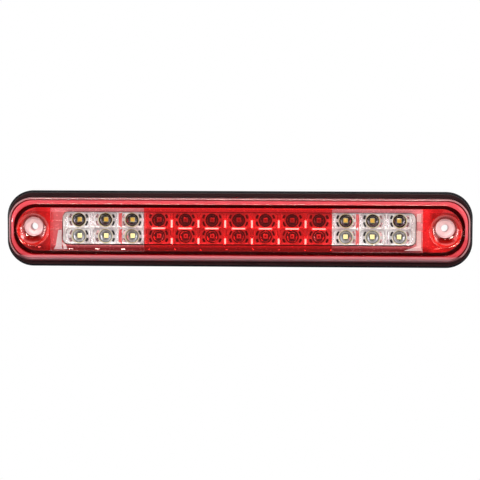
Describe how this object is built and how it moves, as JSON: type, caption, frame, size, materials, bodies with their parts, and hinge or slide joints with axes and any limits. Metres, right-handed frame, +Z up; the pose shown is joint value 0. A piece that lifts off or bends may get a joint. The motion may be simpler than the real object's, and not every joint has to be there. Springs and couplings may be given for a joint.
{
  "type": "third brake light",
  "caption": "Wide high-mount stop lamp: red lens with two clear cargo-light windows, chromed cup reflector, screw wells at both ends, rear gasket and short wired plug.",
  "frame": {"origin": "middle of the line between the two screw holes, on the gasket's back face (the mounting plane)", "axes": "+X along the lamp, +Z up, the lens faces -Y and the wiring leaves towards +Y"},
  "size_m": [0.444, 0.0614, 0.0724],
  "materials": {
    "gasket_rubber": "soft closed-cell rubber, matt",
    "housing_black": "fine moulded grain",
    "lens_red": "polished transparent red plastic",
    "lens_clear": "polished clear plastic",
    "sealant": "pale lens sealant",
    "bush_metal": "bright plated bush",
    "reflector_chrome": "vacuum metallised plastic",
    "board_white": "white solder mask",
    "led_package": "white moulded LED package",
    "led_phosphor": "yellow phosphor gel",
    "led_red": "red emitter under clear gel",
    "screw_steel": "zinc plated",
    "chip_black": "moulded epoxy",
    "capacitor_can": "drawn can",
    "connector_white": "natural nylon",
    "contact_tin": "tinned brass",
    "wire_blue": "insulation",
    "wire_orange": "insulation",
    "wire_black": "insulation",
    "sheath_black": "braided sleeve",
    "grommet_rubber": "moulded rubber",
    "vent_white": "porous patch",
    "plug_black": "glass-filled nylon",
    "seal_silicone": "silicone",
    "retainer_grey": "nylon",
    "latch_grey": "nylon"
  },
  "bodies": {
    "lamp": {"mounting_gasket": "gasket_rubber", "rear_housing": "housing_black", "lens_red": "lens_red", "lens_window_left": "lens_clear", "lens_window_right": "lens_clear", "lens_sealant": "sealant", "screw_sleeves": "bush_metal", "reflector_tray": "reflector_chrome", "led_bezel": "reflector_chrome", "circuit_board": "board_white", "cargo_led_bodies_left": "led_package", "cargo_led_bodies_right": "led_package", "brake_led_bodies": "led_package", "cargo_led_phosphors_left": "led_phosphor", "cargo_led_phosphors_right": "led_phosphor", "brake_led_emitters": "led_red", "bezel_screws": "screw_steel", "board_screws": "screw_steel", "cargo_ballast_resistors": "chip_black", "brake_ballast_resistors": "chip_black", "input_diodes": "chip_black", "current_regulators": "chip_black", "filter_capacitors": "capacitor_can", "board_header": "connector_white", "header_pins": "contact_tin", "board_socket": "connector_white", "brake_wire": "wire_blue", "cargo_wire": "wire_orange", "ground_wire": "wire_black", "harness_sheath": "sheath_black", "cable_grommet": "grommet_rubber", "vent_membrane": "vent_white", "plug_body": "plug_black", "plug_terminals": "contact_tin", "wire_seals": "seal_silicone", "terminal_retainer": "retainer_grey"},
    "latch": {"plug_release_lever": "latch_grey"}
  },
  "joints": [
    {"name": "latch_press", "type": "hinge", "parent": "lamp", "child": "latch", "pos_m": [0.17, 0.0387, -0.0022], "axis": [0, 0, 1], "range_deg": [0, 7]}
  ]
}
